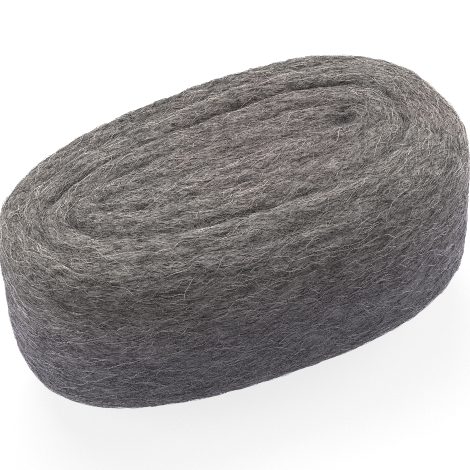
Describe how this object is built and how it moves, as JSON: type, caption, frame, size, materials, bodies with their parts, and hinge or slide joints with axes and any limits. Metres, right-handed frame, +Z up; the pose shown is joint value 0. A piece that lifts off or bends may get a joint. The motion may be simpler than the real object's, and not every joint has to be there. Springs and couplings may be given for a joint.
{
  "type": "steel wool bundle",
  "caption": "Felted ribbon of steel wool wound flat on itself into an oval roll, with a spiral of soft ridges on both ends.",
  "frame": {"origin": "middle of the footprint, on the surface that the roll stands on", "axes": "+X along the roll's long side, +Y across it, +Z up through the end that shows the spiral"},
  "size_m": [0.2, 0.1143, 0.086],
  "materials": {
    "steel_wool": "felted fine wire, dull grey"
  },
  "bodies": {
    "root": {"steel_wool_roll": "steel_wool"}
  },
  "joints": []
}
